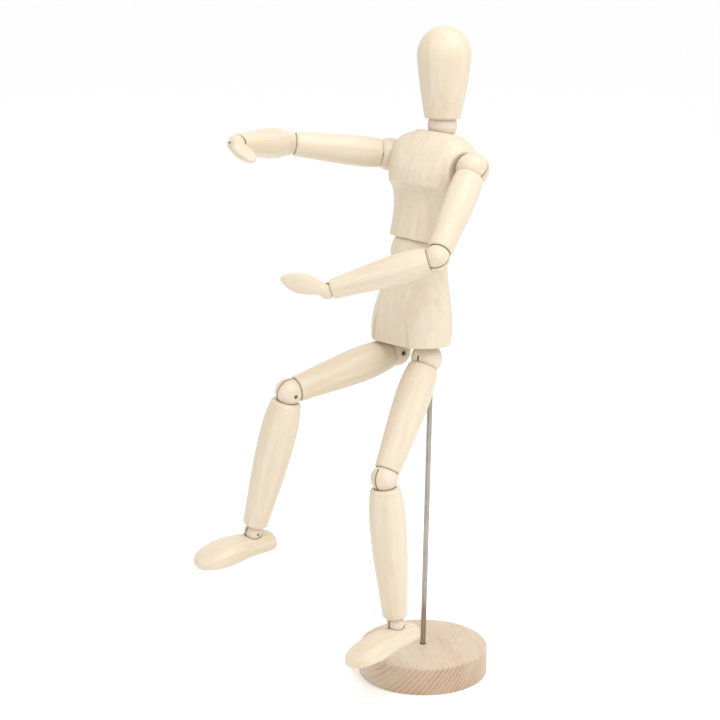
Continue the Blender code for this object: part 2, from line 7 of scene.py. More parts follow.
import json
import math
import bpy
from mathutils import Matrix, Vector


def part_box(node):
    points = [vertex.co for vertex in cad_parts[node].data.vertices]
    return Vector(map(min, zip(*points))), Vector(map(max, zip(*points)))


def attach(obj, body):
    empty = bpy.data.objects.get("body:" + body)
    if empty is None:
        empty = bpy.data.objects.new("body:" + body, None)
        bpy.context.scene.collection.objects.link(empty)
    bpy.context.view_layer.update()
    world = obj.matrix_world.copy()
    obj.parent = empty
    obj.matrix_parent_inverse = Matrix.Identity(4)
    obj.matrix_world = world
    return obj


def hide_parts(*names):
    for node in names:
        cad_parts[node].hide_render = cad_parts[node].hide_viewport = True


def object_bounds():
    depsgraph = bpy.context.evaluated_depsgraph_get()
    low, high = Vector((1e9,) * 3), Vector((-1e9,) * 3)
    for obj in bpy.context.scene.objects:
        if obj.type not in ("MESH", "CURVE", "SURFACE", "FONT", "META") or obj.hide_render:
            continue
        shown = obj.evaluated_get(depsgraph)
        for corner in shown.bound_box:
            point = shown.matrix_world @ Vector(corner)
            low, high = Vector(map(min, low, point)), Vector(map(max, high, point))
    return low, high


bl_info = {
    "name": "Artist Mannequin",
    "version": (1, 0, 0),
    "blender": (4, 5, 0),
    "location": "3D View > Sidebar > Mannequin",
    "description": "Builds the finished wooden figure, its base and its stage around the frame",
    "category": "Add Mesh",
}

import bpy
import numpy as np
from bpy.props import FloatProperty, FloatVectorProperty, PointerProperty, StringProperty
from bpy.types import Operator, Panel, PropertyGroup
from mathutils import Matrix

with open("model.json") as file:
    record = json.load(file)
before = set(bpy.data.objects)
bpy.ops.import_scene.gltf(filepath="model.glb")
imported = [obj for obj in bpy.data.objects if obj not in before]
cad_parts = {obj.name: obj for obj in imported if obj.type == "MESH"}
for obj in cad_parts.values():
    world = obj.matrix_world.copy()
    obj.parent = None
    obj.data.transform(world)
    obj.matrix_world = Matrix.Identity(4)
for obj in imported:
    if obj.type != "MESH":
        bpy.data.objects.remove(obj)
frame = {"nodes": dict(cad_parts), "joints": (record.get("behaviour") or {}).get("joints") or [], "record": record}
CAD_BOUNDS = [list(corner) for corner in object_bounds()]

MM = 0.001
TAU = 2 * math.pi
SIDES = ("left", "right")
AROUND = 72  # points round a turned piece
JOINTS = {joint["name"]: joint for joint in frame["joints"]}
BODY_OF = {node: body for body, nodes in frame["record"]["behaviour"]["bodies"].items()
           for node in nodes}
SLOT_OF = {part["node"]: part["material_slot"] for part in frame["record"]["subparts"]}

# A limb hangs between the balls of two joints. Each rim is its distance from the ball's centre, its
# radius and its rounding; the belly is (share of the length, radius) between the rims.
LIMBS = {
    "upper_arm": ("shoulder", "elbow", (5.2, 7.1, 1.2), (3.9, 5.9, 1.2),
                  ((0.22, 7.4), (0.36, 7.4), (0.56, 6.9), (0.75, 6.3))),
    "forearm": ("elbow", "wrist", (4.1, 6.0, 1.2), (2.2, 4.8, 0.7),
                ((0.2, 6.9), (0.32, 7.1), (0.5, 6.7), (0.72, 5.7), (0.86, 5.1))),
    "thigh": ("hip", "knee", (4.6, 7.6, 1.6), (4.2, 6.4, 1.2),
              ((0.2, 8.4), (0.34, 8.7), (0.52, 8.2), (0.7, 7.4), (0.84, 6.7))),
    "shin": ("knee", "ankle", (4.6, 7.5, 1.8), (3.0, 6.2, 2.2),
             ((0.18, 8.6), (0.3, 8.9), (0.46, 8.7), (0.64, 7.9), (0.8, 6.9))),
}
SLOTTED = ("shoulder", "elbow", "hip", "knee", "ankle")
WIRE_HOLE = 0.65  # radius of the holes for the spring wire
# A saw slot ends this share of the ball's radius over its centre, but at least this high.
SLOT_SHARE, SLOT_LEAST = 0.35, 2.3
PIN_END = 0.3  # height of a pin's domed ends
PIN_SLACK = 0.1  # a pin stays this far inside its hole all round
WRIST_SLOT_END = -2.1  # how deep the saw slot of a hand's ball goes
WAIST_BORE, NECK_BORE = 6.4, 4.6  # radii of the holes through the waist and neck balls

# Trunk sections: height, half width, depth to the front, depth to the rear, shift to the rear.
PELVIS = ((1.2, 22.5, 16.3, 16.3, 0.03), (8, 22.7, 16.4, 16.4, 0.45), (18, 21.0, 15.6, 15.6, 1.5),
          (28, 17.8, 14.2, 14.2, 2.95), (36.4, 15.1, 13.5, 13.5, 4.4))
CHEST_BELOW = ((1.0, 15.8, 13.3, 13.3, 0), (12, 16.2, 13.2, 13.5, 0), (19, 17.6, 13.8, 13.9, 0),
               (23.5, 19.6, 15.0, 14.0, 0), (26, 21.2, 17.2, 14.0, 0))
CHEST_ABOVE = ((26, 21.2, 17.4, 14.0, 0), (33, 23.3, 17.5, 13.8, 0), (39, 24.2, 15.9, 13.0, 0),
               (44, 23.6, 13.8, 12.4, 0), (48.6, 19.6, 11.2, 11.4, 0), (51.4, 12.9, 8.8, 9.8, 0))
# Hand: height below the wrist, half width of the palm, half thickness.
PALM = ((-4.6, 3.5, 2.9), (-7.5, 4.5, 3.1), (-11, 5.4, 3.2), (-14.5, 5.5, 3.0), (-17.6, 4.7, 2.5),
        (-20.4, 3.3, 1.8), (-22.1, 2.0, 1.1))
# Foot: distance ahead of the ankle, half width, height over the sole.
SHOE = ((-12.4, 2.6, 4.6), (-11.6, 4.6, 6.4), (-8.5, 6.2, 8.2), (-3, 6.5, 9.3), (3.5, 6.4, 9.6),
        (9.5, 7.4, 10.0), (15.5, 8.6, 9.7), (22, 8.7, 8.3), (27.4, 7.4, 6.4), (30.8, 5.0, 4.6),
        (32.0, 2.6, 3.5))


# frames

def unit(vector):
    return np.asarray(vector, float) / np.linalg.norm(vector)


def centre(joint):
    """A joint's centre in metres."""
    return np.array(JOINTS[joint]["pos_m"], float)


def axis(joint):
    return unit(JOINTS[joint]["axis"])


def axes(origin, up, across):
    """A frame at origin with Z along up and X as near to across as square corners allow."""
    up = unit(up)
    across = unit(across - up * np.dot(across, up))
    at = np.eye(4)
    at[:3, 0], at[:3, 1], at[:3, 2], at[:3, 3] = across, np.cross(up, across), up, origin
    return at


def points_of(node):
    """A frame node's points as an array, in metres."""
    mesh = frame["nodes"][node].data
    points = np.empty(len(mesh.vertices) * 3)
    mesh.vertices.foreach_get("co", points)
    return points.reshape(-1, 3)


def reach(node, start):
    """How far a node reaches from a point, in millimetres: a ball's radius from its centre."""
    return np.linalg.norm(points_of(node) - start, axis=1).max() / MM


def towards_tip(node, start):
    """The direction from a point to the middle of the node's furthest points."""
    points = points_of(node)
    distance = np.linalg.norm(points - start, axis=1)
    return unit(points[distance > 0.98 * distance.max()].mean(axis=0) - start)


def pelvis_frame():
    """On the pelvis's underside, midway between the hips."""
    middle = (centre("left_hip_turn") + centre("right_hip_turn")) / 2
    middle[2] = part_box("pelvis")[0].z
    return axes(middle, np.array((0, 0, 1)), np.array((1, 0, 0)))


def waist_gap():
    """Half the gap that the waist ball shows, in metres."""
    return centre("waist_turn")[2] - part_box("pelvis")[1].z


def chest_frame():
    """On the chest's underside, on the waist's axis."""
    up = axis("neck_turn")
    return axes(centre("waist_forward_lean") + up * waist_gap(), up, axis("waist_forward_lean"))


def rod_frame():
    """On the rod's axis, with X towards the figure's left."""
    return axes(centre("support_rod_turn"), axis("support_rod_turn"), np.array((1, 0, 0)))


def local(point, at):
    """A world point, or rows of them, in a frame's millimetres."""
    return (np.asarray(point) - at[:3, 3]) @ at[:3, :3] / MM


# surfaces

def smooth_line(points, count):
    """A curve through the points, evenly spaced along its chords.

    Each stretch is the cubic whose end slopes are the weighted mean of the chords on either side.
    """
    points = np.asarray(points, float)
    run = np.r_[0, np.cumsum(np.linalg.norm(np.diff(points, axis=0), axis=1))]
    slope = np.gradient(points, run, axis=0)
    along = np.linspace(0, run[-1], count)
    k = np.clip(np.searchsorted(run, along, side="right") - 1, 0, len(run) - 2)
    length = (run[k + 1] - run[k])[:, None]
    u = (along - run[k])[:, None] / length
    return ((2 * u ** 3 - 3 * u ** 2 + 1) * points[k] + (u ** 3 - 2 * u ** 2 + u) * length * slope[k]
            + (3 * u ** 2 - 2 * u ** 3) * points[k + 1] + (u ** 3 - u ** 2) * length * slope[k + 1])


def arc(across, up, start, end, count, middle=(0, 0)):
    """Points (r, z) on an ellipse: middle plus (across cos a, up sin a), a from start to end degrees."""
    a = np.radians(np.linspace(start, end, count))
    return np.stack([middle[0] + across * np.cos(a), middle[1] + up * np.sin(a)], axis=1)


def turn(profile, count=AROUND):
    """Rings of a turned shape: each (r, z) of the profile goes to (r cos a, r sin a, z)."""
    a = np.arange(count) * TAU / count
    r, z = np.asarray(profile, float).T[:, :, None]
    return np.stack([r * np.cos(a), r * np.sin(a), z + 0 * a], axis=-1)


def power(value, exponent):
    return np.sign(value) * np.abs(value) ** exponent


def ovals(sections, count, squareness=2.2):
    """Rings of a loft: x = half width cos^(2/s) a, y = depth sin^(2/s) a + shift, at each height.

    Sections are (height, half width, front depth, rear depth, shift); the front is -Y.
    """
    z, width, front, rear, shift = np.asarray(sections, float).T[:, :, None]
    a = np.arange(count) * TAU / count
    c, s = np.cos(a), np.sin(a)
    x = width * power(c, 2 / squareness)
    y = np.where(s > 0, rear, front) * power(s, 2 / squareness) + shift
    return np.stack([x, y, z + 0 * a], axis=-1)


def rounded_end(section, edge, height, count=6):
    """Sections that round off a loft's end: a quarter ellipse from the section out to its rim."""
    a = np.radians(np.linspace(0, 90, count))[1:]
    z, *sizes, shift = section
    shrink = edge * (1 - np.cos(a))
    columns = [z + height * np.sin(a)] + [size - shrink for size in sizes] + [shift + 0 * a]
    return np.stack(columns, axis=1)


def soft_least(a, b, blend):
    """The lesser of two arrays, rounded where they cross: -blend log(e^(-a/blend) + e^(-b/blend))."""
    return -blend * np.logaddexp(-a / blend, -b / blend)


def surface(name, rings, at, joined=False, crease=35):
    """A closed mesh object from an array of rings (rings, points, 3), in the millimetres of a frame.

    Rings run down the piece, each counterclockwise from above, with quads between neighbours. The
    ends are closed by fans to the end rings' middles, or with joined the last ring meets the first.
    """
    rows, columns = rings.shape[:2]
    i = np.arange(rows if joined else rows - 1)[:, None]
    j = np.arange(columns)[None, :]
    below, right = (i + 1) % rows * columns, (j + 1) % columns
    quads = np.stack([i * columns + j, below + j, below + right, i * columns + right], axis=-1)
    points, faces = rings.reshape(-1, 3), quads.reshape(-1, 4).tolist()
    if not joined:
        first, after = np.arange(columns), (np.arange(columns) + 1) % columns
        last, pole = (rows - 1) * columns, np.full(columns, rows * columns)
        points = np.vstack([points, rings[0].mean(axis=0), rings[-1].mean(axis=0)])
        faces += np.stack([pole, first, after], axis=1).tolist()
        faces += np.stack([pole + 1, last + after, last + first], axis=1).tolist()
    mesh = bpy.data.meshes.new(name)
    mesh.from_pydata(points * MM @ at[:3, :3].T + at[:3, 3], [], faces)
    mesh.shade_smooth()
    mesh.set_sharp_from_angle(angle=math.radians(crease))
    piece = bpy.data.objects.new(name, mesh)
    bpy.context.scene.collection.objects.link(piece)
    return piece


def carve(piece, cutters, crease=35):
    """Cut the cutters out of a piece, keep the result in its mesh and remove the cutters."""
    for cutter in cutters:
        cut = piece.modifiers.new(cutter.name, "BOOLEAN")
        cut.operation = "DIFFERENCE"
        cut.solver = "EXACT"
        cut.object = cutter
    seen = piece.evaluated_get(bpy.context.evaluated_depsgraph_get())
    carved = bpy.data.meshes.new_from_object(seen)
    if not carved.polygons:
        raise RuntimeError(f"cutting {piece.name} left nothing")
    piece.modifiers.clear()
    piece.data = carved
    carved.set_sharp_from_angle(angle=math.radians(crease))
    for cutter in cutters:
        bpy.data.objects.remove(cutter, do_unlink=True)
    return piece


def ball_cutter(radius, at, middle):
    """A round cutter for a ball's seat."""
    rings = turn(arc(radius, radius, 88, -88, 33), 64) + np.asarray(middle, float)
    return surface("seat_cutter", rings, at)


def bar_cutter(outline, low, high, at):
    """A cutter of one outline (x, y) between two heights."""
    outline = np.asarray(outline, float)
    heights = np.array((high, low), float)[:, None, None] + np.zeros((2, len(outline), 1))
    rings = np.concatenate([np.broadcast_to(outline, (2, *outline.shape)), heights], axis=-1)
    return surface("bar_cutter", rings, at)


def circle(radius, count=24, middle=(0, 0)):
    a = np.arange(count) * TAU / count
    return np.stack([middle[0] + radius * np.cos(a), middle[1] + radius * np.sin(a)], axis=1)


def rectangle(half_x, half_y):
    return [(-half_x, -half_y), (half_x, -half_y), (half_x, half_y), (-half_x, half_y)]


def sideways(at):
    """The frame turned so that its Z lies along the old X, where the cross pin runs."""
    turned = at.copy()
    turned[:3, 0], turned[:3, 1], turned[:3, 2] = at[:3, 1], at[:3, 2], at[:3, 0]
    return turned


def settle(piece, node, material):
    """Give a piece its material and put it in the place of a frame node."""
    piece.data.materials.clear()
    piece.data.materials.append(material)
    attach(piece, BODY_OF[node])
    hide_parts(node)


# materials

def linear(hex_colour):
    """An sRGB hex colour as linear RGBA."""
    value = np.array([int(hex_colour[i:i + 2], 16) / 255 for i in (1, 3, 5)])
    light = np.where(value <= 0.04045, value / 12.92, ((value + 0.055) / 1.055) ** 2.4)
    return (*light.tolist(), 1.0)


def add_node(tree, kind, inputs=None, **settings):
    """Add a node, set its properties, and set or link its inputs by name or number."""
    node = tree.nodes.new(kind)
    for key, value in settings.items():
        setattr(node, key, value)
    for key, value in (inputs or {}).items():
        if isinstance(value, bpy.types.NodeSocket):
            tree.links.new(value, node.inputs[key])
        else:
            node.inputs[key].default_value = value
    return node


def new_material(name):
    material = bpy.data.materials.new(name)
    material.use_nodes = True
    return material, material.node_tree, material.node_tree.nodes["Principled BSDF"]


def grain_vectors(tree, at, shift, squash):
    """Object coordinates in a piece's own millimetres, and the same drawn out along its grain."""
    turned = at[:3, :3].T
    where = -turned @ at[:3, 3] / MM + shift
    place = add_node(tree, "ShaderNodeTexCoord").outputs["Object"]
    own = add_node(tree, "ShaderNodeMapping", {
        "Vector": place, "Location": where, "Rotation": Matrix(turned).to_euler(),
        "Scale": (1 / MM,) * 3}).outputs[0]
    drawn = add_node(tree, "ShaderNodeVectorMath", {0: own, 1: squash}, operation="MULTIPLY")
    return own, drawn.outputs[0]


def mixed(tree, factor, first, second, blend="MIX"):
    node = add_node(tree, "ShaderNodeMix", {0: factor, 6: first, 7: second}, data_type="RGBA",
                    blend_type=blend)
    return node.outputs[2]


def ranged(tree, value, low, high, to_low, to_high):
    return add_node(tree, "ShaderNodeMapRange", {
        "Value": value, "From Min": low, "From Max": high, "To Min": to_low,
        "To Max": to_high}).outputs[0]


def limewood(name, at, seed):
    """Sanded limewood under a thin satin varnish, its grain along the piece's own Z.

    Lime is pale and close, so the eye gets a soft warm and cool figure, faint growth lines and
    hair-fine fibres rather than a strong stripe, with a rare brown fleck.
    """
    colours = bpy.context.scene.mannequin_finish
    material, tree, shader = new_material(name)
    shift = np.array((37.0 + 11.3 * seed, 19.0 - 7.7 * seed, 23.1 * seed))
    own, drawn = grain_vectors(tree, at, shift, (1, 1, 0.07))
    figure = add_node(tree, "ShaderNodeTexNoise", {  # soft patches about 5 mm wide
        "Vector": drawn, "Scale": 0.2, "Detail": 3, "Roughness": 0.55}).outputs[0]
    growth = add_node(tree, "ShaderNodeTexWave", {  # growth lines about 3 mm apart
        "Vector": drawn, "Scale": 0.105, "Distortion": 2.2, "Detail": 2, "Detail Scale": 0.5},
        wave_type="RINGS", rings_direction="Z", wave_profile="SAW").outputs[1]
    fibre = add_node(tree, "ShaderNodeTexNoise", {  # fibres, drawn at 0.6 mm so that they show
        "Vector": drawn, "Scale": 1.6, "Detail": 4, "Roughness": 0.6}).outputs[0]
    fleck = add_node(tree, "ShaderNodeTexVoronoi", {  # a fleck for every 26 mm or so
        "Vector": own, "Scale": 0.038}).outputs["Distance"]
    body = mixed(tree, ranged(tree, figure, 0.32, 0.68, 0, 1), linear(colours.lime_pale),
                 linear(colours.lime_warm))
    lined = mixed(tree, ranged(tree, growth, 0.45, 1.0, 0, 0.1), body, linear(colours.lime_line))
    haired = mixed(tree, ranged(tree, fibre, 0.38, 0.72, 0, 0.09), lined, linear(colours.lime_line))
    flecked = mixed(tree, ranged(tree, fleck, 0.011, 0.022, 0.75, 0), haired,
                    linear(colours.fleck))
    tree.links.new(flecked, shader.inputs["Base Color"])
    tree.links.new(ranged(tree, fibre, 0.3, 0.7, 0.42, 0.56), shader.inputs["Roughness"])
    bump = add_node(tree, "ShaderNodeBump", {"Height": fibre, "Strength": 0.25, "Distance": 0.06 * MM})
    tree.links.new(bump.outputs[0], shader.inputs["Normal"])
    shader.inputs["IOR"].default_value = 1.5
    shader.inputs["Coat Weight"].default_value = 0.12
    shader.inputs["Coat Roughness"].default_value = 0.35
    return material


def beech(name):
    """Sanded beech cut as a round from a board, its fibres level and its growth layers aslant.

    The top shows long faint streaks; the sides that cut the fibres across show the layers as close
    brown diagonal lines, strongest on the end grain, with the short dark dashes that mark beech.
    """
    colours = bpy.context.scene.mannequin_finish
    material, tree, shader = new_material(name)
    fibres = unit((0.88, -0.47, 0))
    layers = axes(np.zeros(3), np.array((0.37, 0.69, -0.62)), fibres)
    _, drawn = grain_vectors(tree, layers, np.array((12, 5, 2)), (0.1, 0.3, 1))
    growth = add_node(tree, "ShaderNodeTexWave", {  # layers about 2.1 mm apart
        "Vector": drawn, "Scale": 0.15, "Distortion": 4, "Detail": 1.5, "Detail Scale": 0.12},
        wave_type="BANDS", bands_direction="Z").outputs[1]
    figure = add_node(tree, "ShaderNodeTexNoise", {  # broad patches, some years darker than others
        "Vector": drawn, "Scale": 0.16, "Detail": 3}).outputs[0]
    dash = add_node(tree, "ShaderNodeTexNoise", {  # dashes 0.6 mm by 6 mm
        "Vector": drawn, "Scale": 1.5, "Detail": 2, "Roughness": 0.5}).outputs[0]
    normal = add_node(tree, "ShaderNodeNewGeometry").outputs["Normal"]
    facing = add_node(tree, "ShaderNodeVectorMath", {0: normal, 1: fibres},
                      operation="DOT_PRODUCT").outputs["Value"]
    end_grain = add_node(tree, "ShaderNodeMath", {0: facing}, operation="ABSOLUTE").outputs[0]
    year = add_node(tree, "ShaderNodeMath", {
        0: ranged(tree, growth, 0.3, 0.95, 0, 1), 1: ranged(tree, figure, 0.36, 0.6, 0.25, 1)},
        operation="MULTIPLY").outputs[0]
    streak = add_node(tree, "ShaderNodeMath", {
        0: year, 1: ranged(tree, end_grain, 0.1, 0.95, 0.06, 0.6)}, operation="MULTIPLY").outputs[0]
    body = mixed(tree, ranged(tree, figure, 0.35, 0.65, 0, 0.7), linear(colours.beech_pale),
                 linear(colours.beech_warm))
    cut_across = mixed(tree, ranged(tree, end_grain, 0.2, 1.0, 0, 0.36), body,
                       linear(colours.beech_streak))
    streaked = mixed(tree, streak, cut_across, linear(colours.beech_streak))
    dashed = mixed(tree, ranged(tree, dash, 0.54, 0.72, 0, 0.22), streaked,
                   linear(colours.beech_streak))
    tree.links.new(dashed, shader.inputs["Base Color"])
    tree.links.new(ranged(tree, dash, 0.3, 0.7, 0.4, 0.56), shader.inputs["Roughness"])
    bump = add_node(tree, "ShaderNodeBump", {"Height": dash, "Strength": 0.3, "Distance": 0.08 * MM})
    tree.links.new(bump.outputs[0], shader.inputs["Normal"])
    shader.inputs["Coat Weight"].default_value = 0.1
    shader.inputs["Coat Roughness"].default_value = 0.35
    return material


def steel(name, colour, roughness, at):
    """Drawn steel wire or rod: a bright metal with faint lines along it from the drawing die."""
    material, tree, shader = new_material(name)
    own, drawn = grain_vectors(tree, at, np.zeros(3), (1, 1, 0.02))
    lines = add_node(tree, "ShaderNodeTexNoise", {  # die lines, drawn at 0.3 mm so that they show
        "Vector": drawn, "Scale": 3.0, "Detail": 3}).outputs[0]
    stain = add_node(tree, "ShaderNodeTexNoise", {"Vector": own, "Scale": 0.12, "Detail": 3}).outputs[0]
    dull = mixed(tree, ranged(tree, stain, 0.45, 0.75, 0, 0.35), linear(colour), linear("#6E655B"))
    tree.links.new(dull, shader.inputs["Base Color"])
    tree.links.new(ranged(tree, lines, 0.3, 0.7, roughness - 0.06, roughness + 0.1),
                   shader.inputs["Roughness"])
    shader.inputs["Metallic"].default_value = 1.0
    shader.inputs["Specular Tint"].default_value = (0.42, 0.39, 0.36, 1)  # darker at the outline
    return material


def pin_in_painted_shade(name, at):
    """A wooden pin deep in its hole, unvarnished; its dark brown is painted shade of the hole, so it only shows as
    a dark brown dot.
    """
    material, tree, shader = new_material(name)
    _, drawn = grain_vectors(tree, at, np.zeros(3), (1, 1, 0.1))
    fibre = add_node(tree, "ShaderNodeTexNoise", {"Vector": drawn, "Scale": 2.0, "Detail": 3}).outputs[0]
    # painted shade: two dark browns that stand for the shade in the pin's hole
    tone = mixed(tree, ranged(tree, fibre, 0.35, 0.7, 0, 1), linear("#5A3A28"), linear("#38231A"))
    tree.links.new(tone, shader.inputs["Base Color"])
    shader.inputs["Roughness"].default_value = 0.7
    return material


# settings

def length(name, millimetres, description):
    return FloatProperty(name=name, description=description, default=millimetres * MM,
                         unit="LENGTH", precision=5)


def tone(name, hex_colour, description):
    return StringProperty(name=name, description=description, default=hex_colour)


class MannequinSizes(PropertyGroup):
    """Sizes shared by the wooden pieces."""
    seat_gap: length("Seat gap", 0.35, "Space between a ball and its seat")
    waist_seat_gap: length("Waist seat gap", 0.5, "Space between the waist ball and its seats")
    slot_half: length("Slot half width", 0.55, "Half the width of a ball's saw slot")
    bore: length("Limb bore", 2.5, "Radius of the bore that holds a limb's spring")
    base_bevel: length("Base bevel", 1.1, "Rounding of the base's upper edge")
    rod_gap: length("Rod gap", 0.25, "Space round the rod in the base's hole")
    pin_share: FloatProperty(name="Pin hole share", default=0.17, subtype="FACTOR",
                             description="Radius of a pin's hole as a share of its ball's radius")


class MannequinFinish(PropertyGroup):
    """Colours of the woods and the metal, as sRGB hex values."""
    lime_pale: tone("Pale lime", "#D5C9B6", "The cooler patches of the limewood")
    lime_warm: tone("Warm lime", "#CFBFA6", "The warmer patches of the limewood")
    lime_line: tone("Lime line", "#B69D7B", "Growth lines and fibres of the limewood")
    fleck: tone("Fleck", "#A2714A", "Rare flecks in the limewood")
    beech_pale: tone("Pale beech", "#CAB8A1", "The paler patches of the base")
    beech_warm: tone("Warm beech", "#C2A98F", "The warmer patches of the base")
    beech_streak: tone("Beech streak", "#957155", "Streaks and dashes of the base")
    rod: tone("Rod", "#A9A29A", "The drawn steel rod")
    spring: tone("Spring", "#8A857D", "The spring wire")


class MannequinStage(PropertyGroup):
    """Camera, floor and lights."""
    camera_side: FloatProperty(name="Camera azimuth", default=math.radians(45.61), subtype="ANGLE",
                               description="Where the camera stands, from the figure's front")
    camera_pan: FloatProperty(name="Camera pan", default=math.radians(2.22), subtype="ANGLE",
                              description="How far the camera turns past the base's centre")
    camera_tilt: FloatProperty(name="Camera tilt", default=math.radians(13.58), subtype="ANGLE",
                               description="How far the camera looks down")
    camera_roll: FloatProperty(name="Camera roll", default=math.radians(0.17), subtype="ANGLE",
                               description="How far the camera leans to its right")
    camera_distance: length("Camera distance", 814.07, "Across the floor from the base's centre")
    camera_height: length("Camera height", 361.39, "Above the floor")
    lens: FloatProperty(name="Lens", default=84.27, unit="CAMERA",
                        description="Focal length in millimetres on a 36 mm sensor")
    key_power: FloatProperty(name="Key light", default=8.0, unit="POWER",
                             description="Power of the large soft light on the camera's right")
    fill_power: FloatProperty(name="Fill light", default=0.15, unit="POWER",
                              description="Power of the soft light on the camera's left")
    sky: FloatProperty(name="Sky", default=1.0, description="Strength of the even white surround")
    floor_tone: FloatVectorProperty(name="Floor", default=(0.99, 0.99, 0.99), subtype="COLOR",
                                    description="Colour of the floor")


# pieces

def limb_rings(turning, top_ball, low_ball, length, sizes):
    """A ring profile: rounded rims, a smooth belly, a ball seat at each end and the bore between."""
    _, _, (top_gap, top_radius, top_round), (low_gap, low_radius, low_round), belly = turning
    bore, gap = sizes.bore / MM, sizes.seat_gap / MM
    top_seat, low_seat = top_ball + gap, low_ball + gap
    top, low = -top_gap, low_gap - length
    top_lip = top_radius - math.sqrt(top_seat ** 2 - top_gap ** 2) - 0.2
    low_lip = low_radius - math.sqrt(low_seat ** 2 - low_gap ** 2) - 0.2
    top_rim = arc(top_lip, top_round, 90, 0, 7, (top_radius - top_lip, top - top_round))
    low_rim = arc(low_lip, low_round, 0, -90, 7, (low_radius - low_lip, low + low_round))
    side = smooth_line([top_rim[-1], *((r, -length * share) for share, r in belly), low_rim[0]], 40)
    low_turn = math.degrees(math.asin(low_gap / low_seat)), math.degrees(math.acos(bore / low_seat))
    top_turn = math.degrees(math.acos(bore / top_seat)), math.degrees(math.asin(top_gap / top_seat))
    low_cup = arc(low_seat, low_seat, low_turn[0], low_turn[1], 12, (0, -length))
    top_cup = arc(top_seat, top_seat, -top_turn[0], -top_turn[1], 12)
    return turn(np.vstack([top_rim, side[1:-1], low_rim, low_cup, top_cup]))


class MANNEQUIN_OT_limbs(Operator):
    """Make the turned limbs"""
    bl_idname = "mannequin.limbs"
    bl_label = "Limbs"

    def execute(self, context):
        for number, side in enumerate(SIDES):
            for kind, turning in LIMBS.items():
                above, below = (f"{side}_{joint}_turn" for joint in turning[:2])
                node = f"{side}_{kind}"
                upper, lower = centre(above), centre(below)
                at = axes(upper, upper - lower, axis(f"{side}_{turning[0]}_bend"))
                ball = reach(f"{side}_{turning[0]}_ball", upper)
                low_ball = (wrist_radius(side) if turning[1] == "wrist"
                            else reach(f"{side}_{turning[1]}_ball", lower))
                length = np.linalg.norm(upper - lower) / MM
                rings = limb_rings(turning, ball, low_ball, length, context.scene.mannequin_sizes)
                piece = surface(node + "_turned", rings, at, joined=True)
                seed = 1 + number * 4 + list(LIMBS).index(kind)
                settle(piece, node, limewood("limewood_" + node, at, seed))
        return {"FINISHED"}


class MANNEQUIN_OT_balls(Operator):
    """Make the slotted joint balls and their cross pins"""
    bl_idname = "mannequin.balls"
    bl_label = "Joint Balls"

    def execute(self, context):
        sizes = context.scene.mannequin_sizes
        for side in SIDES:
            for joint in SLOTTED:
                node, pin = f"{side}_{joint}_ball", f"{side}_{joint}_pin"
                middle = centre(f"{side}_{joint}_turn")
                at = axes(middle, axis(f"{side}_{joint}_turn"), axis(f"{side}_{joint}_bend"))
                radius = reach(node, middle)
                ball = surface(node + "_turned", turn(arc(radius, radius, 89, -89, 49), 64), at)
                hole, wide = sizes.pin_share * radius, radius + 1
                inset = 1.2  # how deep the pin lies in its hole
                half = radius * math.cos(math.asin(sizes.pin_share)) - inset
                slot = bar_cutter(rectangle(sizes.slot_half / MM, wide), -wide, slot_top(radius), at)
                inner = inner_sideways(at, side, joint)
                wire_hole = bar_cutter(circle(WIRE_HOLE, 16), slot_top(radius) / 2, wide, at)
                carve(ball, [slot, bar_cutter(circle(hole), -half, wide, inner), wire_hole])
                seed = 20 + SLOTTED.index(joint) * 2 + SIDES.index(side)
                settle(ball, node, limewood("limewood_" + node, at, seed))
                cross_pin(pin, hole - PIN_SLACK, half - PIN_SLACK, inner)
        return {"FINISHED"}


def cross_pin(node, radius, half, at):
    """A pin with domed ends, well inside its hole."""
    end = arc(radius, PIN_END, 88, 0, 7, (0, half - PIN_END))
    profile = np.vstack([end, end[::-1] * (1, -1)])
    # the pin's material is painted shade: a dark brown that stands for the shade in its hole
    settle(surface(node + "_turned", turn(profile, 24), at), node,
           pin_in_painted_shade("hole_shade_" + node, at))


def inner_sideways(at, side, joint):
    """The cross pin's frame, its Z towards the open end of the hole: the inner side of a limb."""
    flip = (side == "left") != (joint in ("shoulder", "elbow", "wrist"))
    turned = sideways(at)
    return turned @ np.diag((1.0, -1.0, -1.0, 1.0)) if flip else turned


def slot_top(radius):
    """How high a ball's saw slot reaches over its centre."""
    return max(SLOT_SHARE * radius, SLOT_LEAST)


def wrist_radius(side):
    """The radius of the hand's ball, from the pin in it: the pin's rims lie about 0.6 mm inside."""
    pin_depth = 0.6
    return reach(f"{side}_wrist_pin", centre(f"{side}_wrist_bend")) + pin_depth


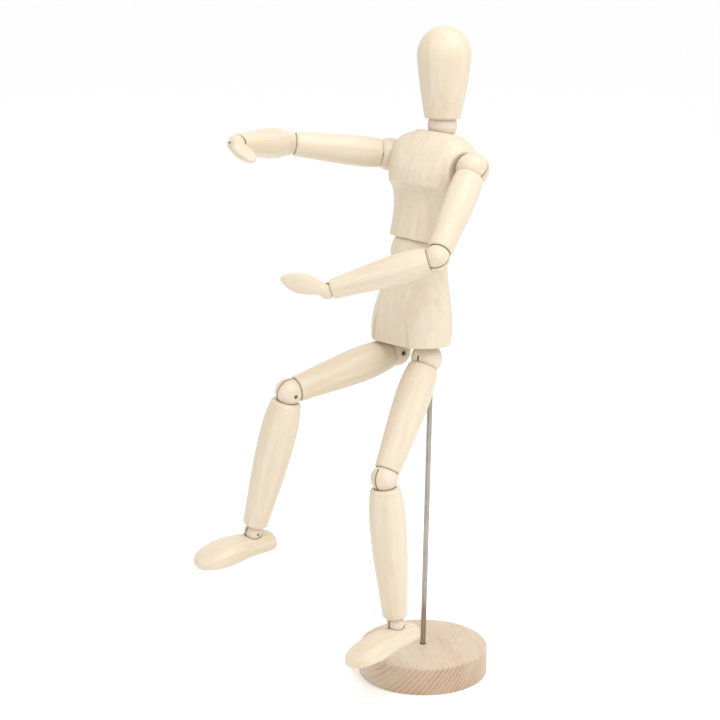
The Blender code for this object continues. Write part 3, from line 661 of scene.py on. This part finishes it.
class MANNEQUIN_OT_hands(Operator):
    """Make the hands, each with the slotted ball of its wrist"""
    bl_idname = "mannequin.hands"
    bl_label = "Hands"

    def execute(self, context):
        sizes = context.scene.mannequin_sizes
        for number, side in enumerate(SIDES):
            node, wrist = side + "_hand", centre(side + "_wrist_bend")
            at = axes(wrist, -towards_tip(node, wrist), axis(side + "_wrist_bend"))
            radius = wrist_radius(side)
            piece = surface(node + "_carved", self.rings(radius), at)
            wide = radius + 1
            slot = bar_cutter(rectangle(sizes.slot_half / MM, wide), WRIST_SLOT_END, wide, at)
            hole, inset = sizes.pin_share * radius, 0.9
            inner, half = inner_sideways(at, side, "wrist"), radius - inset
            carve(piece, [slot, bar_cutter(circle(hole), -half, wide, inner)])
            settle(piece, node, limewood("limewood_" + node, at, 40 + number))
            cross_pin(side + "_wrist_pin", hole - PIN_SLACK, half - PIN_SLACK, inner)
        return {"FINISHED"}

    def rings(self, radius):
        """The wrist ball's circles run into the palm's ellipses; the palm side is hollowed.

        The hollow moves front points back by its depth times a bell over the palm's length and width.
        """
        tip_round, hollow_depth, hollow_at, hollow_long, hollow_wide = 0.9, 1.1, -13.5, 4.5, 3.4
        ball = arc(radius, radius, 87, -38, 26)
        ball = np.stack([ball[:, 1], ball[:, 0], ball[:, 0]], axis=1)
        palm = smooth_line([ball[-1], *PALM], 44)[1:]
        tip = PALM[-1]
        a = np.radians(np.linspace(0, 86, 8))[1:]
        end = np.stack([tip[0] - tip_round * np.sin(a), tip[1] * np.cos(a), tip[2] * np.cos(a)],
                       axis=1)
        z, across, thick = np.vstack([ball, palm, end]).T
        rings = ovals(np.stack([z, thick, across, across, 0 * z], axis=1), 56, 2.0)
        x, y, height = rings.transpose(2, 0, 1)
        hollow = hollow_depth * np.exp(-((height - hollow_at) / hollow_long) ** 2
                                       - (y / hollow_wide) ** 2)
        rings[..., 0] = np.where(x > 0, x - hollow, x)
        return rings


class MANNEQUIN_OT_feet(Operator):
    """Make the feet"""
    bl_idname = "mannequin.feet"
    bl_label = "Feet"

    sole = 11.0  # the sole's distance below the ankle
    eye_hole = (-9.6, -3.0)  # the heights between which the hole for the eye's shank runs

    def execute(self, context):
        gap = context.scene.mannequin_sizes.seat_gap / MM
        for number, side in enumerate(SIDES):
            node, ankle = side + "_foot", centre(side + "_ankle_bend")
            up = -towards_tip(side + "_foot_eye", ankle)
            at = axes(ankle, up, axis(side + "_ankle_bend"))
            radius = reach(side + "_ankle_ball", ankle) + gap
            piece = surface(node + "_carved", self.rings(), at, crease=50)
            bore = bar_cutter(circle(WIRE_HOLE, 16), *self.eye_hole, at)
            carve(piece, [ball_cutter(radius, at, (0, 0, 0)), bore], 50)
            grain = axes(ankle, -at[:3, 1], at[:3, 0])
            settle(piece, node, limewood("limewood_" + node, grain, 44 + number))
        return {"FINISHED"}

    def rings(self):
        """Upright sections from toe to heel: a domed upper over a nearly square welt and flat sole.

        Across, x = half width cos^0.8 a; above the welt, z rises as sin^0.9 a; below it, z falls
        as sin^0.35 a, which keeps the sole flat with a tight edge.
        """
        ahead, half, tall = smooth_line(SHOE, 60).T[:, :, None]
        a = -np.arange(64) * TAU / 64
        c, s = np.cos(a), np.sin(a)
        highest_welt, welt_share = 2.6, 0.42
        welt = np.minimum(highest_welt, tall * welt_share)
        rise = np.where(s > 0, (tall - welt) * power(s, 0.9), welt * power(s, 0.35))
        x = half * power(c, 0.8) + 0 * ahead
        return np.stack([x, -ahead + 0 * a, welt + rise - self.sole], axis=-1)[::-1]


class MANNEQUIN_OT_trunk(Operator):
    """Make the pelvis, the waist ball and the chest"""
    bl_idname = "mannequin.trunk"
    bl_label = "Trunk"

    def execute(self, context):
        sizes = context.scene.mannequin_sizes
        waist = centre("waist_turn")
        ball = reach("waist_ball", waist)
        seat = ball + sizes.waist_seat_gap / MM
        self.pelvis(sizes, waist, seat)
        across, lean = axis("waist_forward_lean"), axis("waist_side_lean")
        at = axes(waist, np.cross(across, lean), across)
        edge = math.degrees(math.acos(WAIST_BORE / ball))
        rings = turn(arc(ball, ball, edge, -edge, 49), 96)
        settle(surface("waist_ball_turned", rings, at, joined=True), "waist_ball",
               limewood("limewood_waist_ball", at, 50))
        self.chest(sizes, waist, seat)
        return {"FINISHED"}

    def pelvis(self, sizes, waist, seat):
        """A lofted block with a rounded foot and top, cut by its ball seats and its front arch."""
        at = pelvis_frame()
        foot = rounded_end(PELVIS[0], edge=1.0, height=-1.2)
        top = rounded_end(PELVIS[-1], edge=0.8, height=0.8)
        sections = np.vstack([foot[::-1], smooth_line(PELVIS, 70), top])[::-1]
        piece = surface("pelvis_carved", ovals(sections, 120, squareness=2.05), at)
        cutters = [ball_cutter(seat, at, local(waist, at))]
        hip_bore_top = 10
        for side in SIDES:
            hip = centre(side + "_hip_turn")
            radius = reach(side + "_hip_ball", hip) + sizes.seat_gap / MM
            x, y, z = local(hip, at)
            cutters += [ball_cutter(radius, at, (x, y, z)),
                        bar_cutter(circle(sizes.bore / MM, 32, (x, y)), -1, hip_bore_top, at)]
        width, height, face = 12.8, 24.5, 13.0  # the arch, and how far its face is ahead of the hips
        arch = np.vstack([arc(width, height, 0, 180, 49), [(-width, -2), (width, -2)]])
        front = axes(at[:3, 3], -at[:3, 1], at[:3, 0])
        cutters.append(bar_cutter(arch, face, face + 9, front))
        spring_room, room_low, room_high = rectangle(13.6, 2.6), 9, 17
        cutters.append(bar_cutter(spring_room, room_low, room_high, at))
        waist_bore, bore_low, bore_high = 3.4, 22, 36
        cutters.append(bar_cutter(circle(waist_bore, 32, local(waist, at)[:2]), bore_low, bore_high,
                                  at))
        rod = rod_frame()
        rod_hole, over_rod, deep = 1.6, 4.5, 30
        top = local(points_of("support_rod"), rod)[:, 2].max() + over_rod
        cutters.append(bar_cutter(circle(rod_hole, 32), top - deep, top, rod))
        carve(piece, cutters)
        settle(piece, "pelvis", limewood("limewood_pelvis", at, 51))

    def chest(self, sizes, waist, seat):
        """A lofted block creased under the breast, with hollows for the arms and four ball seats.

        The arm hollow holds |x| below cx - sqrt(R^2 - (y-cy)^2 - (z-cz)^2), a sphere beside the
        shoulder, with a soft edge.
        """
        at = chest_frame()
        foot = rounded_end(CHEST_BELOW[0], edge=0.6, height=-1.0)
        top = rounded_end(CHEST_ABOVE[-1], edge=3.0, height=1.2)
        below, above = smooth_line(CHEST_BELOW, 44), smooth_line(CHEST_ABOVE, 64)[1:]
        rings = ovals(np.vstack([foot[::-1], below, above, top])[::-1], 144)
        x, y, z = rings.transpose(2, 0, 1)
        shoulder = local(centre("left_shoulder_turn"), at)
        hollow, cx, cy, cz, soft, clear = 16.0, 34.5, -8, shoulder[2] - 2, 0.35, 60
        depth = hollow ** 2 - (y - cy) ** 2 - (z - cz) ** 2
        least = np.where(depth > 0, cx - np.sqrt(np.maximum(depth, 0)), clear)
        rings[..., 0] = np.sign(x) * soft_least(np.abs(x), least, soft)
        piece = surface("chest_carved", rings, at)
        waist_room, room_top = 9.6, 12
        cutters = [ball_cutter(seat, at, local(waist, at)),
                   bar_cutter(circle(waist_room, 48), -1, room_top, at)]
        neck = centre("neck_turn")
        cutters.append(ball_cutter(reach("neck_ball", neck) + sizes.seat_gap / MM, at,
                                   local(neck, at)))
        for side in SIDES:
            middle = centre(side + "_shoulder_turn")
            radius = reach(side + "_shoulder_ball", middle) + sizes.seat_gap / MM
            cutters.append(ball_cutter(radius, at, local(middle, at)))
        bore, (_, y, z) = sizes.bore / MM, shoulder
        cutters.append(bar_cutter(circle(bore, 32, (y, z)), -shoulder[0], shoulder[0], sideways(at)))
        x, y, z = local(neck, at)
        neck_bore, deep, shallow = 2.4, 13.7, 4
        cutters.append(bar_cutter(circle(neck_bore, 32, (x, y)), z - deep, z - shallow, at))
        carve(piece, cutters)
        settle(piece, "chest", limewood("limewood_chest", at, 54))


class MANNEQUIN_OT_head(Operator):
    """Make the neck ball and the head"""
    bl_idname = "mannequin.head"
    bl_label = "Head and Neck"

    def execute(self, context):
        neck = centre("neck_turn")
        nod, tilt = axis("head_nod"), axis("neck_tilt")
        ball = reach("neck_ball", neck)
        at = axes(neck, np.cross(nod, tilt), nod)
        edge = math.degrees(math.acos(NECK_BORE / ball))
        rings = turn(arc(ball, ball, edge, -edge, 33))
        settle(surface("neck_ball_turned", rings, at, joined=True), "neck_ball",
               limewood("limewood_neck_ball", at, 60))
        at = axes(neck, towards_tip("head", neck), nod)
        seat = ball + context.scene.mannequin_sizes.seat_gap / MM
        crown = reach("head", neck)
        piece = surface("head_turned", self.rings(seat, crown), at)
        settle(piece, "head", limewood("limewood_head", at, 61))
        return {"FINISHED"}

    def rings(self, seat, crown):
        """An egg: an elliptic dome over a taper r = R - (R - r0) t^1.35, with a ball seat inside."""
        radius, foot, dome, low = 13.0, 8.6, 14.0, 3.4
        room, room_top, rounding = 5.2, 9.5, 0.9
        widest = crown - dome
        t = np.linspace(0, 0.94, 40)
        taper = np.stack([radius - (radius - foot) * t ** 1.35, widest - (widest - low) * t], axis=1)
        last = taper[-1]
        rim = arc(rounding, last[1] - low, 0, -90, 9, (last[0] - rounding, last[1]))
        cup = arc(seat, seat, math.degrees(math.asin(low / seat)),
                  math.degrees(math.acos(room / seat)), 14)
        profile = np.vstack([arc(radius, dome, 89, 0, 40, (0, widest)), taper[1:], rim[1:], cup,
                             [(room, room_top), (0.4, room_top)]])
        return turn(profile, 96)


class MANNEQUIN_OT_base(Operator):
    """Make the round base and the support rod"""
    bl_idname = "mannequin.base"
    bl_label = "Base and Rod"

    def execute(self, context):
        scene = context.scene
        sizes = scene.mannequin_sizes
        low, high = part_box("base")
        radius, height = (high.x - low.x) / 2 / MM, high.z / MM
        rod = rod_frame()
        along = local(points_of("support_rod"), rod)
        bottom, top = along[:, 2].min(), along[:, 2].max()
        rod_radius = np.hypot(along[:, 0], along[:, 1]).max()
        hole = rod_radius + sizes.rod_gap / MM
        bevel, foot, lip, under_rod = sizes.base_bevel / MM, 0.6, 0.25, 0.3
        floor = height + bottom - under_rod
        profile = np.vstack([
            [(0.2, floor), (hole, floor)],
            arc(lip, lip, 180, 90, 5, (hole + lip, height - lip)),
            arc(bevel, bevel, 90, 0, 9, (radius - bevel, height - bevel)),
            arc(foot, foot, 0, -90, 5, (radius - foot, foot)), [(0.2, 0)]])
        base = surface("base_turned", turn(profile, 180), np.eye(4))
        settle(base, "base", beech("beech_base"))
        end = 0.35  # height of the rod's domed ends
        profile = np.vstack([arc(rod_radius, end, 88, 0, 7, (0, top - end)),
                             arc(rod_radius, end, 0, -88, 7, (0, bottom + end))])
        piece = surface("support_rod_drawn", turn(profile, 48), rod)
        settle(piece, "support_rod", steel("drawn_steel_rod", scene.mannequin_finish.rod, 0.24, rod))
        return {"FINISHED"}


class MANNEQUIN_OT_springs(Operator):
    """Give the springs, wire links and eyes their steel"""
    bl_idname = "mannequin.springs"
    bl_label = "Springs"

    def execute(self, context):
        wire = steel("spring_wire", context.scene.mannequin_finish.spring, 0.34, np.eye(4))
        for node, slot in SLOT_OF.items():
            if slot == "spring_steel":
                for material_slot in frame["nodes"][node].material_slots:
                    material_slot.material = wire
        return {"FINISHED"}


class MANNEQUIN_OT_stage(Operator):
    """Make the floor, the soft lights and the camera"""
    bl_idname = "mannequin.stage"
    bl_label = "Stage"

    def execute(self, context):
        scene, stage = context.scene, context.scene.mannequin_stage
        scene.view_settings.view_transform = "Standard"  # shows the woods' own colours
        half = 30.0  # metres, far enough to fill the view
        floor = bpy.data.meshes.new("floor")
        floor.from_pydata([(-half, -half, 0), (half, -half, 0), (half, half, 0), (-half, half, 0)],
                          [], [(0, 1, 2, 3)])
        ground = bpy.data.objects.new("floor", floor)
        scene.collection.objects.link(ground)
        material, _, shader = new_material("matt_white_floor")
        shader.inputs["Base Color"].default_value = (*stage.floor_tone, 1)
        shader.inputs["Roughness"].default_value = 0.9
        floor.materials.append(material)
        world = bpy.data.worlds.new("white_surround")
        world.use_nodes = True
        world.node_tree.nodes["Background"].inputs[0].default_value = (1, 1, 1, 1)
        world.node_tree.nodes["Background"].inputs[1].default_value = stage.sky
        scene.world = world
        middle = (np.array(CAD_BOUNDS[0]) + np.array(CAD_BOUNDS[1])) / 2
        side = stage.camera_side
        self.light("key", middle, side + math.radians(42), math.radians(58), distance=1.1, size=0.8,
                   power=stage.key_power)
        self.light("fill", middle, side - math.radians(60), math.radians(30), distance=1.2, size=0.9,
                   power=stage.fill_power)
        camera = bpy.data.cameras.new("camera")
        camera.lens = stage.lens
        view = bpy.data.objects.new("camera", camera)
        scene.collection.objects.link(view)
        view.location = (stage.camera_distance * math.sin(side),
                         -stage.camera_distance * math.cos(side), stage.camera_height)
        view.rotation_euler = (math.pi / 2 - stage.camera_tilt, stage.camera_roll,
                               side + stage.camera_pan)
        scene.camera = view
        return {"FINISHED"}

    def light(self, name, target, azimuth, height, distance, size, power):
        """A square soft light that faces the target from an azimuth and height round it."""
        lamp = bpy.data.lights.new(name, "AREA")
        lamp.size = size
        lamp.energy = power
        back = np.array((math.sin(azimuth) * math.cos(height), -math.cos(azimuth) * math.cos(height),
                         math.sin(height)))
        thing = bpy.data.objects.new(name, lamp)
        bpy.context.scene.collection.objects.link(thing)
        at = axes(target + back * distance, back, np.cross((0, 0, 1), back))
        thing.matrix_world = Matrix(at)


OPERATORS = (MANNEQUIN_OT_base, MANNEQUIN_OT_trunk, MANNEQUIN_OT_head, MANNEQUIN_OT_limbs,
             MANNEQUIN_OT_balls, MANNEQUIN_OT_hands, MANNEQUIN_OT_feet, MANNEQUIN_OT_springs,
             MANNEQUIN_OT_stage)
GROUPS = {"mannequin_sizes": MannequinSizes, "mannequin_finish": MannequinFinish,
          "mannequin_stage": MannequinStage}


class MANNEQUIN_PT_panel(Panel):
    """Lists the settings and the pieces to make"""
    bl_idname = "MANNEQUIN_PT_panel"
    bl_label = "Mannequin"
    bl_space_type = "VIEW_3D"
    bl_region_type = "UI"
    bl_category = "Mannequin"

    def draw(self, context):
        for name, group in GROUPS.items():
            box = self.layout.box()
            for setting in group.__annotations__:
                box.prop(getattr(context.scene, name), setting)
        for operator in OPERATORS:
            self.layout.operator(operator.bl_idname)


def register():
    for item in (*GROUPS.values(), *OPERATORS, MANNEQUIN_PT_panel):
        bpy.utils.register_class(item)
    for name, group in GROUPS.items():
        setattr(bpy.types.Scene, name, PointerProperty(type=group))


def unregister():
    for name in GROUPS:
        delattr(bpy.types.Scene, name)
    for item in (MANNEQUIN_PT_panel, *reversed(OPERATORS), *reversed(GROUPS.values())):
        bpy.utils.unregister_class(item)


def main():
    register()
    for operator in OPERATORS:
        group, name = operator.bl_idname.split(".")
        getattr(getattr(bpy.ops, group), name)()


if __name__ == "__main__":
    main()
